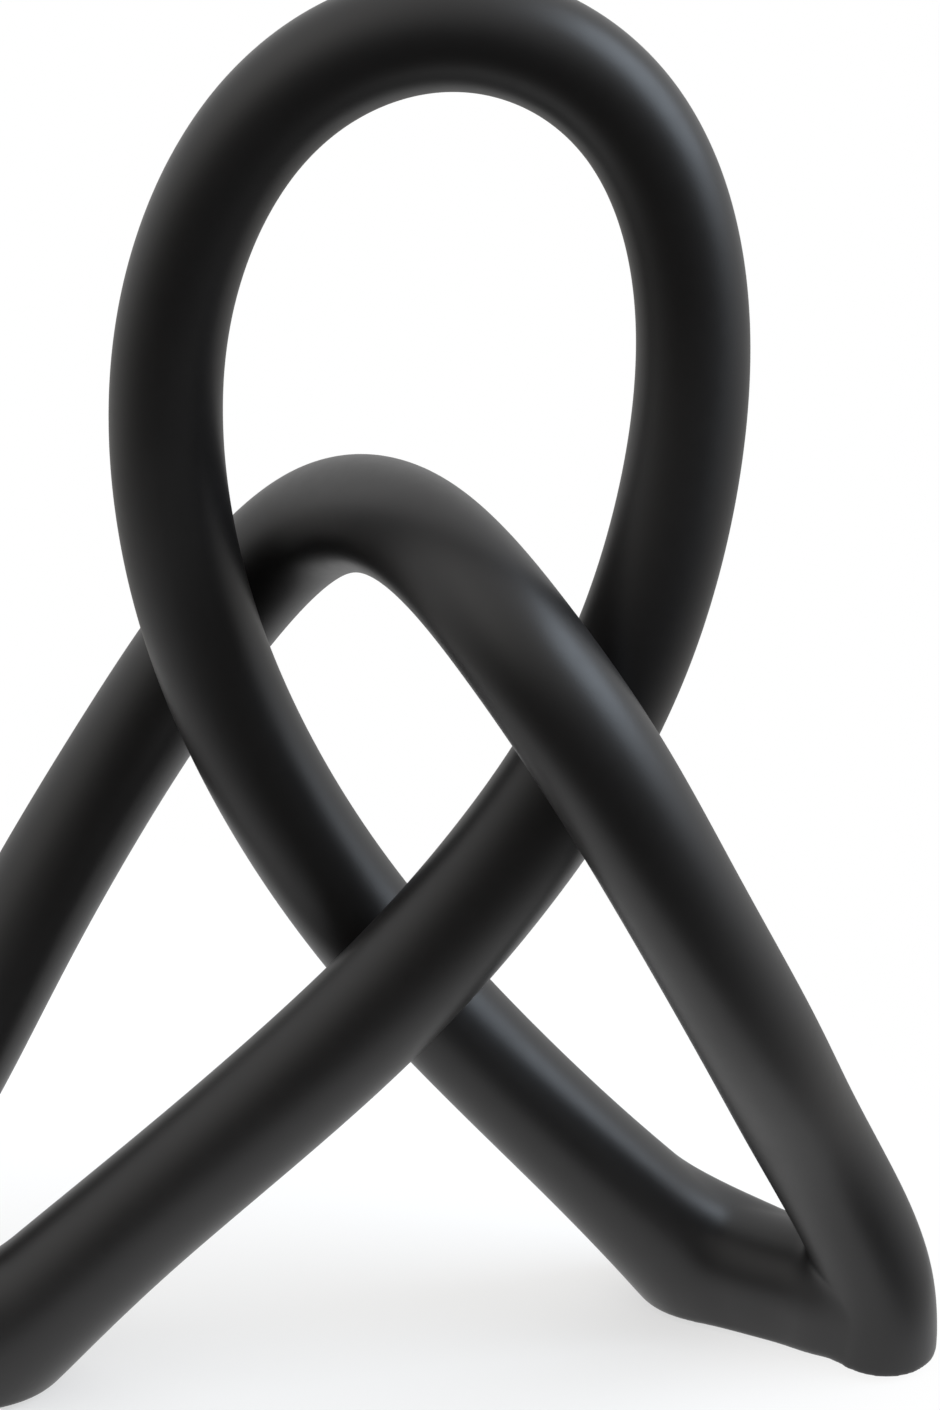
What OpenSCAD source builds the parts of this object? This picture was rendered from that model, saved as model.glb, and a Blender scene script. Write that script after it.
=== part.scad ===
// Abstract knot sculpture: a tall loop threaded through an arch, both of round cast-resin tube,
// joined at two feet that are cut flat. The tube is cast in sections that butt together on steel dowels.
// Millimetres, +Z up. The origin is on the table, midway between the feet, with the viewer towards -Y.

/* [Overall] */
// Distance between the soles of the two legs
foot_span = 261; // [245:1:280]
// Height of the loop's crown over the cut face of the feet
crown_h = 320.5; // [310:0.5:335]
// Height of the arch's crown over the cut face of the feet
arch_h = 210.5; // [204:0.5:216]
// Sideways lean of the loop and the arch over the feet, in degrees
lean = 4.7; // [0:0.1:8]

/* [Tube] */
// Diameter of the round tube
tube_d = 27; // [23:0.5:31]
// Room between two strands that pass each other
strand_gap = 1; // [0.5:0.25:4]
// How much slimmer the tube is at the shoulders of the loop
loop_slim = 3; // [0:0.2:4]
// How much thicker it is in the legs and at the haunches of the arch
leg_swell = 0.5; // [0:0.1:0.8]
// How much thicker it is at the feet
heel_swell = 6; // [4:0.5:8]
// How much fuller the front sweep is than that, and how much slimmer the rear one
front_full = 0.8; // [0:0.1:1.5]

/* [Loop] */
// Shoulder beside the crown: across, back and up
shoulder = [-37.5, 1.5, 302.5]; // [-60:0.5:310]
// Widest place of the loop
flank = [-56, 4, 254]; // [-60:0.5:310]
// Where the loop passes the arch: across and up
waist = [-50, 192]; // [-60:0.5:310]
// Below the arch, on the way in: across and up
hip = [-26.5, 138]; // [-60:0.5:310]
// How much further the loop bows out at the hip than at the waist
hip_bow = 1.5; // [0:0.5:4]
// Where the two ends of the loop cross: across and up
crossing = [8.5, 90]; // [-60:0.5:310]
// How much further it bows out where its ends cross
crossing_bow = 0.75; // [0:0.25:4]

/* [Feet] */
// How far the soles lie in front of the middle
sole_front = 7.5; // [4:0.5:10]
// How far the sweep and the leg run on below the cut face before they are cut off
root = 10; // [6:0.5:14]
// Low sweep towards the foot: across, back from the sole, and up
sweep = [-77.5, 22.5, 43]; // [-90:0.5:60]
// Heel, where the sweep meets the table
heel = [-47, 25, 11]; // [-60:0.5:40]
// Where the sweep is cut off: across and back from the sole
heel_root = [-30, 24.5]; // [-60:0.5:40]
// Back end of the foot's run along the table, inside the sweep: across, back from the sole, and up
run_back = [-66.5, 23.5, 33]; // [-80:0.5:40]
// Instep, where the run bends out of the sweep
instep = [-48.5, 24.5, 17]; // [-60:0.5:40]
// Middle of the foot, on the run
ball = [-30, 19, 10.5]; // [-60:0.5:40]
// Front end of the run, inside the leg
toe = [-4.5, 3.5, 12]; // [-10:0.5:20]
// How much slimmer the run ends inside the leg
toe_slim = 3; // [2:0.25:6]

/* [Arch] */
// Ankle: across, back from the sole, and up
ankle = [-4, 2, 19]; // [-10:0.5:25]
// Shin, from the sole
shin = [-18, 0, 48]; // [-30:0.5:60]
// Calf, from the sole
calf = [-31, -8.5, 72.5]; // [-45:0.5:85]
// Knee, from the sole
knee = [-45.5, -22.5, 102]; // [-60:0.5:110]
// Straight run of the leg: across, back from the front of the arch, and up
thigh = [64.5, 2.5, 139.5]; // [0:0.5:150]
// Where the arch passes the loop, at its front: across and up
haunch = [44, 173]; // [30:0.5:185]
// How much further the arch bows out there than one strand laid on the other
haunch_bow = 2; // [1:0.5:6]
// Shoulder of the arch: across, back from its front, and up
bend = [22.5, 9, 199.5]; // [0:0.5:205]

/* [Joints] */
// Diameter of the steel dowels
dowel_d = 8; // [5:0.5:10]
// Length of the dowels
dowel_len = 32; // [20:1:44]
// Chamfer at the ends of the dowels
dowel_chamfer = 0.8; // [0.2:0.1:1.2]
// Play all round a dowel in its bore
dowel_play = 0.1; // [0.05:0.05:0.3]
// Room at each end of a dowel
dowel_end = 1; // [0.5:0.25:2]
// Place of the joints under the waist, in stations from the crown
waist_joint = 3.6; // [3.4:0.1:3.8]
// Place of the joints before the heels, in stations from the crown
heel_joint = 6.25; // [6.1:0.05:6.4]
// Place of the joints on the legs, in stations from the table
leg_joint = 2.6; // [2.3:0.1:2.9]

/* [Pads] */
// Diameter of the soft pads under the feet
pad_d = 12; // [8:0.5:14]
// Thickness of the pads
pad_t = 1.5; // [1:0.25:3]
// Place of the heel pads, in stations from the back of the run
heel_pad = 1.8; // [1.6:0.1:2]
// Place of the toe pads, in stations from the bottom of the leg
toe_pad = 0.4; // [0.2:0.1:0.6]

/* [Hidden] */
// Facets round the tube and rings from one station to the next
sides = 24;
rings = 6;
// From middle to middle of two strands that pass each other
apart = tube_d + strand_gap;
// The right sole, and the middle of the arch's front
sole = [foot_span / 2, -sole_front];
arch_front = -1.5 * apart - haunch_bow;

// A place given from the sole, one from the front of the arch, and one on a strand that passes another
function from_sole(p) = [sole[0] + p[0], sole[1] + p[1], p[2]];
function from_front(p) = [p[0], arch_front + p[1], p[2]];
function passing(p, bow = 0) = [p[0], apart / 2 + bow, p[1]];

// Stations of half the loop, from its crown to below the right heel: across, back, up and diameter
loop_half = [
    [0, 0, crown_h, tube_d - 0.8 * loop_slim],
    [each shoulder, tube_d - loop_slim],
    [each flank, tube_d - 0.85 * loop_slim],
    [each passing(waist), tube_d - 0.2 * loop_slim],
    [each passing(hip, hip_bow), tube_d + 0.1 * heel_swell],
    [each passing(crossing, crossing_bow), tube_d + 0.25 * heel_swell],
    [each from_sole(sweep), tube_d + 0.4 * heel_swell],
    [each from_sole(heel), tube_d + heel_swell],
    [each (sole + heel_root), -root, tube_d + 0.75 * heel_swell]
];

// Share of the front sweep's fullness at each of these stations
fullness = [0, 0, 0, 0, 0.5, 1, 1, 0.5, 0];

// Stations of the right foot's run along the table, from inside the sweep to inside the leg
run = [
    [each from_sole(run_back), tube_d - 1],
    [each from_sole(instep), tube_d + 0.5 * heel_swell],
    [each from_sole(ball), tube_d + 0.5 * heel_swell],
    [each from_sole(toe), tube_d - toe_slim]
];

// Stations of half the arch, from below the right sole to its crown
arch_half = [
    [each sole, -root, tube_d + leg_swell],
    [each from_sole(ankle), tube_d + leg_swell],
    [each from_sole(shin), tube_d + leg_swell],
    [each from_sole(calf), tube_d + leg_swell],
    [each from_sole(knee), tube_d + leg_swell],
    [each from_front(thigh), tube_d],
    [haunch[0], arch_front, haunch[1], tube_d + leg_swell],
    [each from_front(bend), tube_d],
    [0, 0, arch_h, tube_d]
];

loop_mid = len(loop_half) - 1;
loop_end = 2 * loop_mid;
arch_mid = len(arch_half) - 1;
arch_end = 2 * arch_mid;

// The other half of each strand is the same half, turned half round the upright axis
function half_turn(p) = [-p[0], -p[1], p[2], p[3]];

// Handles of a smooth curve that passes through every station
function relax(p, c, n) = n == 0 ? c : relax(p, [
    for (i = [0:len(p) - 1])
        i == 0 || i == len(p) - 1 ? p[i] : (6 * p[i] - c[i - 1] - c[i + 1]) / 4
], n - 1);
function handles(p) =
    let (c = relax(p, p, 18), n = len(p) - 1)
    concat([2 * c[0] - c[1]], c, [2 * c[n] - c[n - 1]]);

function fuller(i) = [0, 0, 0, front_full * fullness[i]];
loop_route = handles(concat(
    [for (i = [loop_mid:-1:1]) half_turn(loop_half[i]) + fuller(i)],
    [for (i = [0:loop_mid]) loop_half[i] - fuller(i)]
));
arch_route = handles(concat(arch_half, [for (i = [arch_mid - 1:-1:0]) half_turn(arch_half[i])]));
right_run = handles(run);
left_run = handles([for (p = run) half_turn(p)]);

// Point and diameter on a route, t stations along it
function along(route, t) =
    let (i = min(floor(t), len(route) - 4), u = t - i)
    ((1 - u) ^ 3 * route[i] + (3 * u ^ 3 - 6 * u ^ 2 + 4) * route[i + 1]
        + (-3 * u ^ 3 + 3 * u ^ 2 + 3 * u + 1) * route[i + 2] + u ^ 3 * route[i + 3]) / 6;

// The same point with the lean, standing on the pads
function centre(route, t) =
    let (p = along(route, t))
    [p[0] + p[2] * tan(lean), p[1], p[2] + pad_t];

function unit(v) = v / norm(v);
function heading(route, t) =
    let (last = len(route) - 3)
    unit(centre(route, min(t + 0.01, last)) - centre(route, max(t - 0.01, 0)));

function ring(route, t) =
    let (c = centre(route, t), w = heading(route, t), r = along(route, t)[3] / 2)
    let (s = unit(cross(w, [0, 1, 0])), u = cross(s, w))
    [for (k = [0:sides - 1]) c + r * (cos(360 * k / sides) * s + sin(360 * k / sides) * u)];

// The same ring, its underside drawn down where the foot's run lies along the table
function deep_ring(route, t) =
    let (c = centre(route, t), more = max(0, min(1, 1.25 * (t - 1.2))))
    [for (p = ring(route, t)) p - [0, 0, more * max(0, c[2] - p[2])]];

// A length of tube with a flat face at each end, round or with a deep underside
module tube(route, from, to, deep = false) {
    n = ceil((to - from) * rings);
    skin = [
        for (j = [0:n])
            let (t = from + (to - from) * j / n)
            each (deep ? deep_ring(route, t) : ring(route, t))
    ];
    wall = [
        for (j = [0:n - 1])
            for (k = [0:sides - 1])
                let (a = j * sides + k, b = j * sides + (k + 1) % sides)
                each [[a, b, a + sides], [b, b + sides, a + sides]]
    ];
    first = [for (k = [sides - 1:-1:0]) k];
    last = [for (k = [0:sides - 1]) n * sides + k];
    polyhedron(points = skin, faces = concat([first], wall, [last]), convexity = 8);
}

// Sets its children on a route, with +Z along the tube
module on_route(route, t) {
    w = heading(route, t);
    translate(centre(route, t))
        rotate([0, acos(w[2]), atan2(w[1], w[0])])
            children();
}

module bore(route, t) {
    on_route(route, t)
        cylinder(d = dowel_d + 2 * dowel_play, h = dowel_len + 2 * dowel_end, center = true, $fn = 48);
}

module dowel(route, t) {
    tip_d = dowel_d - 2 * dowel_chamfer;
    color("silver")
        on_route(route, t)
            rotate_extrude($fn = 48)
                polygon([
                    [0, -dowel_len / 2],
                    [tip_d / 2, -dowel_len / 2],
                    [dowel_d / 2, dowel_chamfer - dowel_len / 2],
                    [dowel_d / 2, dowel_len / 2 - dowel_chamfer],
                    [tip_d / 2, dowel_len / 2],
                    [0, dowel_len / 2]
                ]);
}

module pad(route, t) {
    c = centre(route, t);
    color("dimgray")
        translate([c[0], c[1], 0])
            cylinder(d = pad_d, h = pad_t, $fn = 48);
}

module below_feet() {
    translate([-crown_h, -crown_h, -crown_h])
        cube([2 * crown_h, 2 * crown_h, crown_h + pad_t]);
}

module crown_loop() {
    color([0.11, 0.11, 0.12])
        difference() {
            tube(loop_route, loop_mid - waist_joint, loop_mid + waist_joint);
            bore(loop_route, loop_mid - waist_joint);
            bore(loop_route, loop_mid + waist_joint);
        }
}

module rear_sweep() {
    color([0.12, 0.12, 0.13])
        difference() {
            tube(loop_route, loop_mid + waist_joint, loop_mid + heel_joint);
            bore(loop_route, loop_mid + waist_joint);
            bore(loop_route, loop_mid + heel_joint);
        }
}

module front_sweep() {
    color([0.12, 0.12, 0.13])
        difference() {
            tube(loop_route, loop_mid - heel_joint, loop_mid - waist_joint);
            bore(loop_route, loop_mid - heel_joint);
            bore(loop_route, loop_mid - waist_joint);
        }
}

module bridge_arch() {
    color([0.13, 0.13, 0.14])
        difference() {
            tube(arch_route, leg_joint, arch_end - leg_joint);
            bore(arch_route, leg_joint);
            bore(arch_route, arch_end - leg_joint);
        }
}

module right_foot() {
    color([0.14, 0.14, 0.15])
        difference() {
            union() {
                tube(loop_route, loop_mid + heel_joint, loop_end);
                tube(right_run, 0, len(run) - 1, true);
                tube(arch_route, 0, leg_joint);
            }
            below_feet();
            bore(loop_route, loop_mid + heel_joint);
            bore(arch_route, leg_joint);
        }
}

module left_foot() {
    color([0.14, 0.14, 0.15])
        difference() {
            union() {
                tube(loop_route, 0, loop_mid - heel_joint);
                tube(left_run, 0, len(run) - 1, true);
                tube(arch_route, arch_end - leg_joint, arch_end);
            }
            below_feet();
            bore(loop_route, loop_mid - heel_joint);
            bore(arch_route, arch_end - leg_joint);
        }
}

module dowel_waist_left() {
    dowel(loop_route, loop_mid + waist_joint);
}

module dowel_waist_right() {
    dowel(loop_route, loop_mid - waist_joint);
}

module dowel_heel_right() {
    dowel(loop_route, loop_mid + heel_joint);
}

module dowel_heel_left() {
    dowel(loop_route, loop_mid - heel_joint);
}

module dowel_leg_right() {
    dowel(arch_route, leg_joint);
}

module dowel_leg_left() {
    dowel(arch_route, arch_end - leg_joint);
}

module pad_heel_right() {
    pad(right_run, heel_pad);
}

module pad_toe_right() {
    pad(arch_route, toe_pad);
}

module pad_heel_left() {
    pad(left_run, heel_pad);
}

module pad_toe_left() {
    pad(arch_route, arch_end - toe_pad);
}

crown_loop();
rear_sweep();
front_sweep();
bridge_arch();
right_foot();
left_foot();
dowel_waist_left();
dowel_waist_right();
dowel_heel_right();
dowel_heel_left();
dowel_leg_right();
dowel_leg_left();
pad_heel_right();
pad_toe_right();
pad_heel_left();
pad_toe_left();
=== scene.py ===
"""Knot sculpture in matte black resin: smooth skins over the solids, finishes, a studio and a camera."""
import math

import bmesh
import bpy
import numpy as np
from mathutils import Matrix, Vector


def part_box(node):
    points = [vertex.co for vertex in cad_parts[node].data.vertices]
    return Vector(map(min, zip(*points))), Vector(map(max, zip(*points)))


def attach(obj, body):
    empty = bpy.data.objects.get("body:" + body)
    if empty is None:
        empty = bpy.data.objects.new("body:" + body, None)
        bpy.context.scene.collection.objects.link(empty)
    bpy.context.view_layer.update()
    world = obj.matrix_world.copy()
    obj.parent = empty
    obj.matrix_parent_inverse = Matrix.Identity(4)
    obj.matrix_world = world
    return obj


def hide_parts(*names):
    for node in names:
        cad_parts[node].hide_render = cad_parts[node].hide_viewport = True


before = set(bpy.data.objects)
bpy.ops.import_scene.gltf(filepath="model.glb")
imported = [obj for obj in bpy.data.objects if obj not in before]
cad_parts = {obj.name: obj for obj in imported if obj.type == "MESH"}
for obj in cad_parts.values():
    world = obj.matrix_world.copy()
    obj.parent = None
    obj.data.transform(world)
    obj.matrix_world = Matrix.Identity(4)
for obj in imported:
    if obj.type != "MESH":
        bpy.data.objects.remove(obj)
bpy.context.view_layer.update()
scene = bpy.context.scene

MM = 0.001
BODY = "root"

# The tube and its routes, in millimetres, as the solids have them
TUBE_D = 27.0
STRAND_GAP = 1.0
LOOP_SLIM = 3.0
LEG_SWELL = 0.5
HEEL_SWELL = 6.0
FRONT_FULL = 0.8
ROOT = 10.0
LEAN = math.tan(math.radians(4.7))
PAD_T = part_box("pad_toe_right")[1].z / MM
# Depth at which one strand lies on another, and the depth of the arch's front
LAID = (TUBE_D + STRAND_GAP) / 2
ARCH_FRONT = -3 * LAID - 2

# Half the loop, from its crown to below the right heel: across, back, up and diameter
LOOP_HALF = [
    (0, 0, 320.5, TUBE_D - 0.8 * LOOP_SLIM),
    (-37.5, 1.5, 302.5, TUBE_D - LOOP_SLIM),
    (-56, 4, 254, TUBE_D - 0.85 * LOOP_SLIM),
    (-50, LAID, 192, TUBE_D - 0.2 * LOOP_SLIM),
    (-26.5, LAID + 1.5, 138, TUBE_D + 0.1 * HEEL_SWELL),
    (8.5, LAID + 0.75, 90, TUBE_D + 0.25 * HEEL_SWELL),
    (53, 15, 43, TUBE_D + 0.4 * HEEL_SWELL),
    (83.5, 17.5, 11, TUBE_D + HEEL_SWELL),
    (100.5, 17, -ROOT, TUBE_D + 0.75 * HEEL_SWELL),
]
# Share of the front sweep's fullness at each of these stations
FULLNESS = (0, 0, 0, 0, 0.5, 1, 1, 0.5, 0)
# The right foot's run along the table, from inside the sweep to inside the leg. It is a little
# fuller than the solid's
RUN = [
    (64, 16, 33, TUBE_D - 1),
    (82, 17, 17, TUBE_D + 0.5 * HEEL_SWELL),
    (101, 10, 11.5, TUBE_D + 0.5 * HEEL_SWELL),
    (126, -4, 13, TUBE_D),
]
# Half the arch, from below the right sole to its crown
ARCH_HALF = [
    (130.5, -7.5, -ROOT, TUBE_D + LEG_SWELL),
    (126.5, -5.5, 19, TUBE_D + LEG_SWELL),
    (112.5, -7.5, 48, TUBE_D + LEG_SWELL),
    (99.5, -16, 72.5, TUBE_D + LEG_SWELL),
    (85, -30, 102, TUBE_D + LEG_SWELL),
    (64.5, ARCH_FRONT + 2.5, 139.5, TUBE_D),
    (44, ARCH_FRONT, 173, TUBE_D + LEG_SWELL),
    (22.5, ARCH_FRONT + 9, 199.5, TUBE_D),
    (0, 0, 210.5, TUBE_D),
]
LOOP_MID = len(LOOP_HALF) - 1
LOOP_END = 2 * LOOP_MID
ARCH_END = 2 * (len(ARCH_HALF) - 1)

# Where the cast sections butt together, in stations from the crown and from the table
WAIST_JOINT = 3.6
HEEL_JOINT = 6.25
LEG_JOINT = 2.6

# How finely the skins and the feet's distance fields are made
SIDES = 96
RING_STEP = 1.2
FOOT_GRAIN = 0.8
FIELD_STEP = 0.4
# Marks on a route from one station to the next, to measure its length
MARKS = 200
# Points of a foot that are measured at a time
BATCH = 2000
# Edges that bend more than this, in radians, stay crisp on a tube and on a foot
TUBE_CREASE = 1.0
FOOT_CREASE = 0.8
# Widths of the foot's soft valleys: before the leg, low at the sole, at the heel and at its far side
LEG_VALLEY = 3.0
SOLE_VALLEY = 14.0
HEEL_VALLEY = 4.0
BACK_VALLEY = 12.0
LEAST_VALLEY = 0.3
# Where the valleys grow to these widths: along the run from the instep, for the heel and its far side,
# sideways from the run, back from the toe, and down to the table
HEEL_REACH = (-8, 20)
BACK_REACH = (-14, 34)
FAR_SIDE = (0, 10)
LEG_REACH = (-2, 14)
SOLE_HEIGHT = (12, 30)
# Stations of the run between which its underside is drawn down to the table
UNDERSIDE = (1.2, 2.0)
# How far down the raw run is doubled, to fill the space under it
RUN_DROP = 4.0
# Round of the edge of the cut face
SOLE_ROUND = 1.2
# Height of the band at the sole that is rubbed smooth
SOLE_BAND = 4.0
# Raw tube beyond a joint, cut off again at the joint, and stations of the strand looked at beyond it
SPARE = 7.0
BEYOND = 0.6
# How far from a joint's middle its cut reaches, and how near a point has to be to lie on a cut, in metres
CUT_REACH = 30.0
CUT_NEAR = 1e-7
# Rounds of drawing a foot's points to its surface, and of rubbing its sole's edge smooth
DRAWS = 10
RUBS = 8
# Least strength that a way out counts with, where the ways of two strands nearly cancel
WEAKEST = 0.2
# How much slimmer the skins are than the solids, so that they stay inside their box
SLACK = 0.06


class Socket:
    """An output of a node. Arithmetic on it adds Math nodes to its tree."""

    def __init__(self, graph, output):
        self.graph = graph
        self.output = output

    def maths(self, operation, first, second):
        return self.graph.add("ShaderNodeMath", {"operation": operation}, {0: first, 1: second}).out()

    def __add__(self, other):
        return self.maths("ADD", self, other)

    def __radd__(self, other):
        return self.maths("ADD", other, self)

    def __sub__(self, other):
        return self.maths("SUBTRACT", self, other)

    def __rsub__(self, other):
        return self.maths("SUBTRACT", other, self)

    def __mul__(self, other):
        return self.maths("MULTIPLY", self, other)

    def __rmul__(self, other):
        return self.maths("MULTIPLY", other, self)


class Node:
    """A node of a tree, read by the name or the number of an output."""

    def __init__(self, graph, node):
        self.graph = graph
        self.node = node

    def out(self, key=0):
        return Socket(self.graph, self.node.outputs[key])


class Graph:
    """A node tree that is filled node by node."""

    def __init__(self, tree):
        self.tree = tree

    def add(self, kind, settings=None, sockets=None):
        node = self.tree.nodes.new(kind)
        for name, value in (settings or {}).items():
            setattr(node, name, value)
        for key, value in (sockets or {}).items():
            if isinstance(value, Socket):
                self.tree.links.new(value.output, node.inputs[key])
            else:
                node.inputs[key].default_value = value
        return Node(self, node)


def new_graph(data):
    data.use_nodes = True
    data.node_tree.nodes.clear()
    return Graph(data.node_tree)


# Finishes

RESIN_BLACK = (0.0066, 0.0060, 0.0062, 1)
RESIN_GREY = (0.0100, 0.0092, 0.0094, 1)
RESIN_SHEEN = 0.42
# Sizes of the coat's clouds, mottle, sanded grain and slow waves, in millimetres
CLOUD = 34
MOTTLE = 3.2
GRAIN = 0.45
WAVE = 16
# Sizes of the steel's grinding marks and stains, and of the rubber's pebble
GRIND = 0.6
STAIN = 7
PEBBLE = 0.7
STEEL = (0.55, 0.55, 0.57, 1)
STEEL_DARK = (0.40, 0.40, 0.42, 1)
RUBBER = (0.030, 0.030, 0.030, 1)
RUBBER_PALE = (0.050, 0.050, 0.048, 1)


def noise(graph, place, size_mm, detail):
    """Noise whose lumps are about this size, from 0 to 1."""
    sockets = {"Vector": place, "Scale": 1 / (size_mm * MM), "Detail": detail, "Roughness": 0.5}
    return graph.add("ShaderNodeTexNoise", {"noise_dimensions": "3D"}, sockets).out(0)


def mix_colours(graph, share, first, second):
    settings = {"data_type": "RGBA", "blend_type": "MIX", "clamp_factor": True}
    return graph.add("ShaderNodeMix", settings, {0: share, 6: first, 7: second}).out(2)


def slope(graph, value, low, high):
    """From 0 to 1 between two values, slowly at both ends."""
    sockets = {"Value": value, "From Min": low, "From Max": high}
    return graph.add("ShaderNodeMapRange", {"interpolation_type": "SMOOTHSTEP"}, sockets).out()


def bump(graph, height, strength, depth_mm, over=None):
    """A bump of this depth, on top of another one if there is one."""
    sockets = {"Strength": strength, "Distance": depth_mm * MM, "Height": height}
    if over is not None:
        sockets["Normal"] = over
    return graph.add("ShaderNodeBump", None, sockets).out()


def matte_resin():
    """Near-black coat with a soft satin sheen: cloudy tone, fine sanded grain, slow hand-rubbed waves."""
    material = bpy.data.materials.new("matte_black_resin")
    graph = new_graph(material)
    place = graph.add("ShaderNodeTexCoord").out("Object")
    cloud = noise(graph, place, CLOUD, 3)
    mottle = noise(graph, place, MOTTLE, 4)
    tone = mix_colours(graph, cloud * 0.7 + mottle * 0.3, RESIN_BLACK, RESIN_GREY)
    rough = cloud * 0.10 + mottle * 0.06 + (RESIN_SHEEN - 0.08)
    waves = bump(graph, noise(graph, place, WAVE, 1), strength=0.10, depth_mm=0.6)
    grain = bump(graph, noise(graph, place, GRAIN, 2), strength=0.12, depth_mm=0.06, over=waves)
    shader = graph.add("ShaderNodeBsdfPrincipled", None, {
        "Base Color": tone,
        "Roughness": rough,
        "IOR": 1.5,
        "Normal": grain,
    })
    graph.add("ShaderNodeOutputMaterial", None, {"Surface": shader.out()})
    return material


def ground_steel():
    """Dowel rod: bright steel with fine grinding marks."""
    material = bpy.data.materials.new("ground_steel")
    graph = new_graph(material)
    place = graph.add("ShaderNodeTexCoord").out("Object")
    marks = noise(graph, place, GRIND, 3)
    stain = noise(graph, place, STAIN, 3)
    shader = graph.add("ShaderNodeBsdfPrincipled", None, {
        "Base Color": mix_colours(graph, stain, STEEL_DARK, STEEL),
        "Metallic": 1.0,
        "Roughness": marks * 0.2 + 0.25,
    })
    graph.add("ShaderNodeOutputMaterial", None, {"Surface": shader.out()})
    return material


def foot_rubber():
    """Soft pads: dull dark rubber with a fine pebble."""
    material = bpy.data.materials.new("foot_rubber")
    graph = new_graph(material)
    place = graph.add("ShaderNodeTexCoord").out("Object")
    pebble = noise(graph, place, PEBBLE, 3)
    shader = graph.add("ShaderNodeBsdfPrincipled", None, {
        "Base Color": mix_colours(graph, pebble, RUBBER, RUBBER_PALE),
        "Roughness": pebble * 0.2 + 0.7,
        "Normal": bump(graph, pebble, strength=0.3, depth_mm=0.1),
    })
    graph.add("ShaderNodeOutputMaterial", None, {"Surface": shader.out()})
    return material


RESIN = matte_resin()


# Routes

def half_turn(station):
    x, y, z, d = station
    return (-x, -y, z, d)


def thicker(station, more):
    x, y, z, d = station
    return (x, y, z, d + more)


def through(stations):
    """Handles of the smooth curve through the stations, leaned and set on the pads, in metres."""
    points = np.array(stations, float)
    weights = np.eye(len(points))
    for i in range(1, len(points) - 1):
        weights[i, i - 1:i + 2] = 1 / 6, 4 / 6, 1 / 6
    inner = np.linalg.solve(weights, points)
    handles = np.vstack([2 * inner[0] - inner[1], inner, 2 * inner[-1] - inner[-2]])
    handles[:, 0] += handles[:, 2] * LEAN
    handles[:, 2] += PAD_T
    handles[:, 3] -= SLACK
    return handles * MM


def walk(handles, stations):
    """Places and diameters on a route, this many stations along it."""
    t = np.atleast_1d(np.asarray(stations, float))
    i = np.clip(np.floor(t).astype(int), 0, len(handles) - 4)
    u = (t - i)[:, None]
    blend = ((1 - u) ** 3, 3 * u ** 3 - 6 * u ** 2 + 4, -3 * u ** 3 + 3 * u ** 2 + 3 * u + 1, u ** 3)
    return sum(b * handles[i + k] for k, b in enumerate(blend)) / 6


def heading(handles, station):
    step = 0.01
    ahead, behind = walk(handles, station + step)[0, :3], walk(handles, station - step)[0, :3]
    return Vector(ahead - behind).normalized()


class Route:
    """A strand's centre line: its handles, its length, and a curve for the tube to follow."""

    def __init__(self, name, stations, on_table=False):
        self.on_table = on_table
        self.handles = through(stations)
        self.count = len(stations) - 1
        self.marks = np.linspace(0, self.count, MARKS * self.count + 1)
        steps = np.diff(walk(self.handles, self.marks)[:, :3], axis=0)
        self.lengths = np.concatenate([[0], np.cumsum(np.linalg.norm(steps, axis=1))])
        curve = bpy.data.curves.new(name, "CURVE")
        curve.dimensions = "3D"
        line = curve.splines.new("NURBS")
        line.points.add(len(self.handles) - 1)
        for point, (x, y, z, d) in zip(line.points, self.handles):
            point.co = (x, y, z, 1)
            point.radius = d / 2
        line.order_u = 4
        line.use_endpoint_u = False
        line.resolution_u = 40
        self.curve = bpy.data.objects.new(name, curve)
        scene.collection.objects.link(self.curve)

    def length_at(self, station):
        return float(np.interp(station, self.marks, self.lengths))

    def share(self, station, extra):
        """Share of the length at a station, this much further on."""
        return min(max((self.length_at(station) + extra) / self.lengths[-1], 0.0), 1.0)

    def joint(self, station):
        """Middle of a joint's face and the way that the tube runs there."""
        return Vector(walk(self.handles, station)[0, :3]), heading(self.handles, station)


FRONT_HALF = [half_turn(thicker(s, FRONT_FULL * f)) for s, f in zip(LOOP_HALF, FULLNESS)]
REAR_HALF = [thicker(s, -FRONT_FULL * f) for s, f in zip(LOOP_HALF, FULLNESS)]
LOOP = Route("loop_route", FRONT_HALF[:0:-1] + REAR_HALF)
ARCH = Route("arch_route", ARCH_HALF + [half_turn(s) for s in ARCH_HALF[-2::-1]])
RIGHT_RUN = Route("right_run", RUN, on_table=True)
LEFT_RUN = Route("left_run", [half_turn(s) for s in RUN], on_table=True)


# The tube that follows a route, as a Geometry Nodes rule

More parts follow.
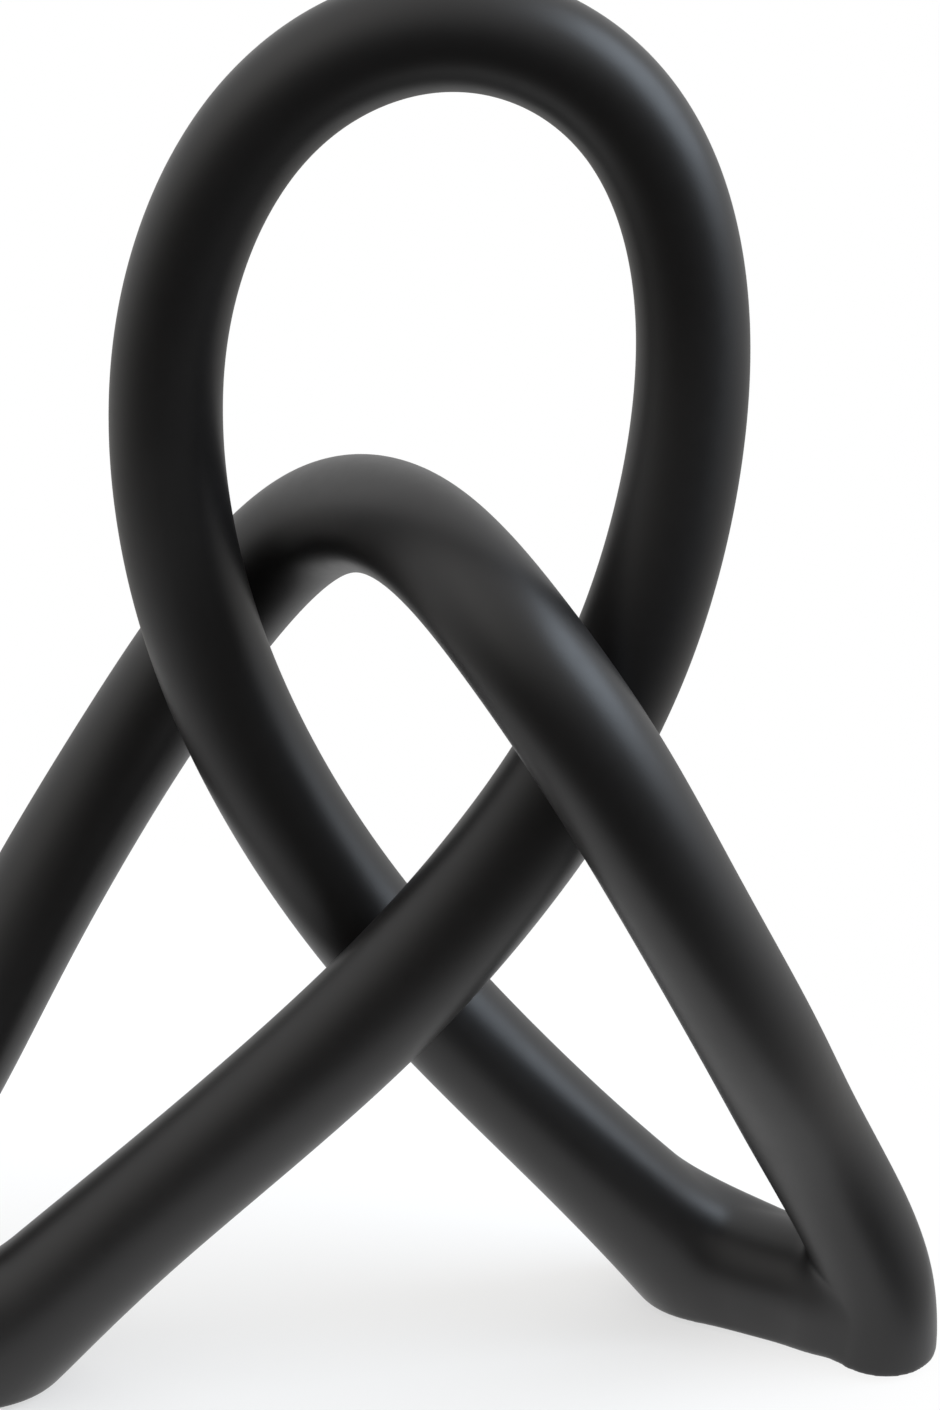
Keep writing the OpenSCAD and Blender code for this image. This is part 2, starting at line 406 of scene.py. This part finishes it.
def tube_rule():
    """A closed round tube on part of a route, as thick as the route says there."""
    tree = bpy.data.node_groups.new("tube_on_route", "GeometryNodeTree")
    inputs = {}
    for name, kind in (
        ("Route", "NodeSocketObject"),
        ("Start", "NodeSocketFloat"),
        ("End", "NodeSocketFloat"),
        ("Sides", "NodeSocketInt"),
        ("Rings", "NodeSocketInt"),
        ("Finish", "NodeSocketMaterial"),
    ):
        inputs[name] = tree.interface.new_socket(name, in_out="INPUT", socket_type=kind).identifier
    tree.interface.new_socket("Geometry", in_out="OUTPUT", socket_type="NodeSocketGeometry")
    graph = Graph(tree)
    given = graph.add("NodeGroupInput")
    route = graph.add("GeometryNodeObjectInfo", {"transform_space": "ORIGINAL"}, {
        "Object": given.out("Route"),
    })
    blank = graph.add("GeometryNodeMeshCylinder", {"fill_type": "NGON"}, {
        "Vertices": given.out("Sides"),
        "Side Segments": given.out("Rings"),
        "Radius": 1.0,
        "Depth": 1.0,
    })
    spot = graph.add("ShaderNodeSeparateXYZ", None, {0: graph.add("GeometryNodeInputPosition").out()})
    start, end = given.out("Start"), given.out("End")
    along = graph.add("GeometryNodeSampleCurve", {"mode": "FACTOR", "data_type": "FLOAT"}, {
        "Curves": route.out("Geometry"),
        "Value": graph.add("GeometryNodeInputRadius").out(),
        "Factor": start + (spot.out("Z") + 0.5) * (end - start),
    })
    radius = along.out("Value")

    def vector(operation, sockets):
        return graph.add("ShaderNodeVectorMath", {"operation": operation}, sockets).out(0)

    side = along.out("Normal")
    up = vector("CROSS_PRODUCT", {0: along.out("Tangent"), 1: side})
    reach = vector("ADD", {
        0: vector("SCALE", {0: side, "Scale": spot.out("X") * radius}),
        1: vector("SCALE", {0: up, "Scale": spot.out("Y") * radius}),
    })
    bent = graph.add("GeometryNodeSetPosition", None, {
        "Geometry": blank.out("Mesh"),
        "Position": vector("ADD", {0: along.out("Position"), 1: reach}),
    })
    smooth = graph.add("GeometryNodeSetShadeSmooth", {"domain": "FACE"}, {"Geometry": bent.out()})
    bend = graph.add("GeometryNodeInputMeshEdgeAngle").out("Unsigned Angle")
    sharper = {"data_type": "FLOAT", "operation": "GREATER_THAN"}
    rim = graph.add("FunctionNodeCompare", sharper, {0: bend, 1: TUBE_CREASE})
    crisp = graph.add("GeometryNodeSetShadeSmooth", {"domain": "EDGE"}, {
        "Geometry": smooth.out(),
        "Selection": rim.out(),
        "Shade Smooth": False,
    })
    real = graph.add("GeometryNodeRealizeInstances", None, {"Geometry": crisp.out()})
    done = graph.add("GeometryNodeSetMaterial", None, {
        "Geometry": real.out(),
        "Material": given.out("Finish"),
    })
    graph.add("NodeGroupOutput", None, {"Geometry": done.out()})
    return tree, inputs


TUBE_TREE, TUBE_INPUTS = tube_rule()


def evaluated_mesh(piece):
    """The plain mesh that a piece's modifiers make."""
    bpy.context.view_layer.update()
    graph = bpy.context.evaluated_depsgraph_get()
    return bpy.data.meshes.new_from_object(piece.evaluated_get(graph), depsgraph=graph)


def new_piece(name, mesh):
    piece = bpy.data.objects.new(name, mesh)
    scene.collection.objects.link(piece)
    return piece


def settle(piece):
    """Turns a piece's modifiers into its own plain mesh."""
    mesh = evaluated_mesh(piece)
    piece.modifiers.clear()
    piece.data = mesh
    return piece


def tube(name, route, start, end, before=0.0, after=0.0):
    """A length of tube between two stations, with spare length at its ends."""
    first, last = route.share(start, -before), route.share(end, after)
    piece = new_piece(name, bpy.data.meshes.new(name))
    rule = piece.modifiers.new("tube", "NODES")
    rule.node_group = TUBE_TREE
    rings = round((last - first) * route.lengths[-1] / (RING_STEP * MM))
    values = {
        "Route": route.curve,
        "Start": first,
        "End": last,
        "Sides": SIDES,
        "Rings": rings,
        "Finish": RESIN,
    }
    for key, value in values.items():
        rule[TUBE_INPUTS[key]] = value
    return settle(piece)


# The feet, where the two strands run together

def tube_field(points, route, start, end):
    """How far points lie outside a strand's wall, and the way out of it. A run has a deep underside."""
    length = route.length_at(end) - route.length_at(start)
    marks = np.linspace(start, end, int(length / (FIELD_STEP * MM)))
    line = walk(route.handles, marks)
    centres, radii = line[:, :3], line[:, 3] / 2
    ways = np.gradient(centres, axis=0)
    steps = np.linalg.norm(ways, axis=1)
    ways /= steps[:, None]
    slopes = np.gradient(radii) / steps
    near = np.concatenate([
        np.argmin(np.linalg.norm(part[:, None] - centres[None], axis=2), axis=1)
        for part in np.array_split(points, len(points) // BATCH + 1)
    ])
    slide = np.einsum("ij,ij->i", points - centres[near], ways[near])
    slide = np.clip(slide, -steps[near], steps[near])
    out = points - centres[near] - slide[:, None] * ways[near]
    shallow, full = UNDERSIDE
    drawn = np.clip((marks[near] - shallow) / (full - shallow), 0, 1)
    deep = 1 + drawn * route.on_table * (out[:, 2] < 0)
    out[:, 2] /= deep
    reach = np.linalg.norm(out, axis=1)
    way = out / reach[:, None]
    way[:, 2] /= deep
    return reach - radii[near] - slopes[near] * slide, way


def soft_least(a, way_a, b, way_b, width):
    """The lesser of two distances, rounded where they are closer than the width, and its way out."""
    share = np.clip(0.5 + 0.5 * (b - a) / width, 0, 1)
    way = share[:, None] * way_a + (1 - share[:, None]) * way_b
    return share * a + (1 - share) * b - width * share * (1 - share), way


def eased(values, limits):
    """From 0 to 1 between two limits in millimetres, slowly at both ends."""
    low, high = limits
    t = np.clip((values / MM - low) / (high - low), 0, 1)
    return t * t * (3 - 2 * t)


def foot_field(points, strands):
    """Distance to the foot's surface: its strands with soft valleys between, cut flat over the pads."""
    route = strands[1][0]
    instep, toe = walk(route.handles, [1, route.count])[:, :3]
    onward = (toe - instep) / np.linalg.norm(toe - instep)
    (sweep, way_sweep), (run, way_run), (leg, way_leg) = [tube_field(points, *s) for s in strands]
    along = (points - instep) @ onward
    far_side = eased((points - instep) @ np.cross([0, 0, 1], onward), FAR_SIDE)
    heel = HEEL_VALLEY * eased(along, HEEL_REACH) + BACK_VALLEY * far_side * eased(along, BACK_REACH)
    low, way_low = soft_least(sweep, way_sweep, run, way_run, (LEAST_VALLEY + heel) * MM)
    heelward = eased((toe - points) @ onward, LEG_REACH)
    near_sole = 1 - eased(points[:, 2], SOLE_HEIGHT)
    ankle = heelward * (LEG_VALLEY + (SOLE_VALLEY - LEG_VALLEY) * near_sole)
    both, way = soft_least(low, way_low, leg, way_leg, (LEAST_VALLEY + ankle) * MM)
    table = PAD_T * MM - points[:, 2]
    way_down = np.broadcast_to(np.array([0.0, 0.0, -1.0]), points.shape)
    inside, way_in = soft_least(-both, -way, -table, -way_down, SOLE_ROUND * MM)
    return -inside, -way_in


def cut(form, middle, way, reach):
    """Cuts a form off flat beyond a plane, near a point of it, and closes the cut."""
    near = [v for v in form.verts if (v.co - middle).length < reach]
    faces = {f for v in near for f in v.link_faces}
    edges = {e for f in faces for e in f.edges}
    corners = {v for f in faces for v in f.verts}
    result = bmesh.ops.bisect_plane(
        form, geom=[*corners, *edges, *faces], dist=CUT_NEAR,
        plane_co=middle, plane_no=way, clear_outer=True)
    rim = [e for e in result["geom_cut"] if isinstance(e, bmesh.types.BMEdge) and e.is_boundary]
    bmesh.ops.edgeloop_fill(form, edges=rim)


def foot(name, sweep_span, run, leg_span, sweep_joint, leg_joint):
    """A foot: the loop's end, the run along the table and the arch's end, grown together and cut flat."""
    form = bmesh.new()
    spare = SPARE * MM
    for route, (start, end), (before, after) in (
        (LOOP, sweep_span, (spare, 0) if sweep_span[1] == LOOP_END else (0, spare)),
        (run, (0, run.count), (0, 0)),
        (ARCH, leg_span, (0, spare) if leg_span[0] == 0 else (spare, 0)),
    ):
        raw = tube(name + "_raw", route, start, end, before, after)
        form.from_mesh(raw.data)
        if route is run:
            raw.data.transform(Matrix.Translation((0, 0, -RUN_DROP * MM)))
            form.from_mesh(raw.data)
        bpy.data.objects.remove(raw)
    level = Vector((0, 0, PAD_T * MM))
    bmesh.ops.bisect_plane(
        form, geom=[*form.verts, *form.edges, *form.faces], dist=CUT_NEAR,
        plane_co=level, plane_no=(0, 0, -1), clear_outer=True)
    bmesh.ops.holes_fill(form, edges=[e for e in form.edges if e.is_boundary], sides=0)
    mesh = bpy.data.meshes.new(name)
    form.to_mesh(mesh)
    form.free()
    piece = new_piece(name, mesh)
    grown = piece.modifiers.new("grown_together", "REMESH")
    grown.mode = "VOXEL"
    grown.voxel_size = FOOT_GRAIN * MM
    settle(piece)

    points = np.zeros(len(piece.data.vertices) * 3)
    piece.data.vertices.foreach_get("co", points)
    points = points.reshape(-1, 3)
    strands = (
        (LOOP, max(sweep_span[0] - BEYOND, 0), min(sweep_span[1] + BEYOND, LOOP_END)),
        (run, 0, run.count),
        (ARCH, max(leg_span[0] - BEYOND, 0), min(leg_span[1] + BEYOND, ARCH_END)),
    )
    for _ in range(DRAWS):
        off, way = foot_field(points, strands)
        strength = np.einsum("ij,ij->i", way, way).clip(WEAKEST)
        points -= off[:, None] * way / strength[:, None]
    piece.data.vertices.foreach_set("co", points.ravel())

    form = bmesh.new()
    form.from_mesh(piece.data)
    for route, station, outward in ((LOOP, *sweep_joint), (ARCH, *leg_joint)):
        middle, way = route.joint(station)
        cut(form, middle, way * outward, CUT_REACH * MM)
    edge_of_sole = [v for v in form.verts if v.co.z < (PAD_T + SOLE_BAND) * MM]
    for _ in range(RUBS):
        bmesh.ops.smooth_vert(
            form, verts=edge_of_sole, factor=0.5, use_axis_x=True, use_axis_y=True, use_axis_z=True)
    for face in form.faces:
        face.smooth = True
    for edge in form.edges:
        edge.smooth = not (edge.is_manifold and edge.calc_face_angle() > FOOT_CREASE)
    form.to_mesh(piece.data)
    form.free()
    piece.data.materials.clear()
    piece.data.materials.append(RESIN)
    return piece


# The cast sections

SKINS = {
    "crown_loop": tube("crown_loop_skin", LOOP, LOOP_MID - WAIST_JOINT, LOOP_MID + WAIST_JOINT),
    "rear_sweep": tube("rear_sweep_skin", LOOP, LOOP_MID + WAIST_JOINT, LOOP_MID + HEEL_JOINT),
    "front_sweep": tube("front_sweep_skin", LOOP, LOOP_MID - HEEL_JOINT, LOOP_MID - WAIST_JOINT),
    "bridge_arch": tube("bridge_arch_skin", ARCH, LEG_JOINT, ARCH_END - LEG_JOINT),
    "right_foot": foot(
        "right_foot_skin",
        (LOOP_MID + HEEL_JOINT, LOOP_END), RIGHT_RUN, (0, LEG_JOINT),
        (LOOP_MID + HEEL_JOINT, -1), (LEG_JOINT, 1)),
    "left_foot": foot(
        "left_foot_skin",
        (0, LOOP_MID - HEEL_JOINT), LEFT_RUN, (ARCH_END - LEG_JOINT, ARCH_END),
        (LOOP_MID - HEEL_JOINT, 1), (ARCH_END - LEG_JOINT, -1)),
}
for node, skin in SKINS.items():
    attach(skin, BODY)
    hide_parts(node)
for route in (LOOP, ARCH, RIGHT_RUN, LEFT_RUN):
    bpy.data.objects.remove(route.curve)

FINISHES = {"dowel": ground_steel(), "pad": foot_rubber()}
for node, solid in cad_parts.items():
    kind = node.split("_")[0]
    if kind in FINISHES:
        solid.data.materials.clear()
        solid.data.materials.append(FINISHES[kind])


# Studio, in metres

# Round table top, set off to the left and back, and how white it shows to the eye and in the gloss
FLOOR_R = 0.24
FLOOR_PLACE = (-0.06, 0.05, 0.0)
FLOOR_FADE = (0.55 * FLOOR_R, 0.97 * FLOOR_R)
FLOOR_WHITE = 0.6
FLOOR_GLOSS = 0.95
FLOOR_PALE = (0.9, 0.9, 0.9, 1)
WHITE = (1, 1, 1, 1)
# Surround: its colour, and its light from the front, from behind, from high up and more so at the left
SURROUND = (1.0, 0.985, 0.96, 1)
FRONT_LIGHT = 0.08
BACK_LIGHT = 0.5
HIGH_LIGHT = 0.6
LEFT_LIGHT = 0.8
# Large soft lamp high up at the right, aimed at the knot's middle
MIDDLE = (0.02, 0.0, 0.16)
WINDOW_PLACE = (1.608, -0.167, 1.364)
WINDOW_SIZE = (1.45, 1.75)
WINDOW_POWER = 34.0
WINDOW_BLUE = (0.74, 0.86, 1.0)


def ray_kinds(graph):
    """Whether a ray comes from the camera, and whether from a gloss or through something clear."""
    rays = graph.add("ShaderNodeLightPath")
    return rays.out("Is Camera Ray"), rays.out("Is Glossy Ray") + rays.out("Is Transmission Ray")


def white_floor():
    """Plain pale round table top that keeps the shadow and fades into the white behind it."""
    mesh = bpy.data.meshes.new("floor")
    form = bmesh.new()
    bmesh.ops.create_circle(form, cap_ends=True, segments=128, radius=FLOOR_R)
    form.to_mesh(mesh)
    form.free()
    floor = new_piece("floor", mesh)
    floor.location = FLOOR_PLACE
    material = bpy.data.materials.new("floor_white")
    graph = new_graph(material)
    place = graph.add("ShaderNodeTexCoord").out("Object")
    away = graph.add("ShaderNodeVectorMath", {"operation": "LENGTH"}, {0: place}).out("Value")
    fade = slope(graph, away, *FLOOR_FADE)
    seen, mirrored = ray_kinds(graph)
    plain = graph.add("ShaderNodeBsdfDiffuse", None, {"Color": FLOOR_PALE})
    white = graph.add("ShaderNodeEmission", None, {"Color": WHITE, "Strength": 1.0})
    share = seen * (fade * (1 - FLOOR_WHITE) + FLOOR_WHITE) + mirrored * FLOOR_GLOSS
    both = graph.add("ShaderNodeMixShader", None, {0: share, 1: plain.out(), 2: white.out()})
    graph.add("ShaderNodeOutputMaterial", None, {"Surface": both.out()})
    mesh.materials.append(material)


def studio_world():
    """Pale surround, darker on the viewer's side, and white to the camera and to gloss that looks back."""
    world = bpy.data.worlds.new("studio")
    scene.world = world
    graph = new_graph(world)
    way = graph.add("ShaderNodeSeparateXYZ", None, {0: graph.add("ShaderNodeTexCoord").out("Generated")})
    back = slope(graph, way.out("Y"), -0.9, 0.4)
    high = slope(graph, way.out("Z"), 0.0, 0.85)
    left = slope(graph, way.out("X"), -0.2, -0.9)
    level = slope(graph, way.out("Z"), -0.35, 0.15)
    seen, mirrored = ray_kinds(graph)
    strength = back * BACK_LIGHT + high * (left * LEFT_LIGHT + HIGH_LIGHT) + FRONT_LIGHT
    light = graph.add("ShaderNodeBackground", None, {"Color": SURROUND, "Strength": strength})
    white = graph.add("ShaderNodeBackground", None, {"Color": WHITE, "Strength": 1.0})
    share = seen + (1 - seen) * mirrored * back * back * level
    both = graph.add("ShaderNodeMixShader", None, {0: share, 1: light.out(), 2: white.out()})
    graph.add("ShaderNodeOutputWorld", None, {"Surface": both.out()})


def soft_box(name, place, aim, size, power, colour):
    lamp = bpy.data.lights.new(name, "AREA")
    lamp.shape = "RECTANGLE"
    lamp.size, lamp.size_y = size
    lamp.energy = power
    lamp.color = colour
    box = bpy.data.objects.new(name, lamp)
    box.location = place
    box.rotation_euler = (Vector(aim) - Vector(place)).to_track_quat("-Z", "Y").to_euler()
    scene.collection.objects.link(box)


white_floor()
studio_world()
soft_box("window_light", WINDOW_PLACE, MIDDLE, WINDOW_SIZE, WINDOW_POWER, WINDOW_BLUE)

# Camera: long lens, upright, above the table and looking down at the knot
FRAME_H = 1410
SENSOR = 36.0
FOCAL_PX = 3105.2
DISTANCE = 0.700
TILT = math.radians(23.82)
AIM = Vector((0.02932, 0.0, 0.1705))

lens = bpy.data.cameras.new("camera")
lens.sensor_width = SENSOR
lens.sensor_fit = "AUTO"
lens.lens = FOCAL_PX * SENSOR / FRAME_H
camera = bpy.data.objects.new("camera", lens)
camera.location = AIM + DISTANCE * Vector((0, -math.cos(TILT), math.sin(TILT)))
camera.rotation_euler = (math.pi / 2 - TILT, 0, 0)
scene.collection.objects.link(camera)
scene.camera = camera
scene.view_settings.view_transform = "Standard"
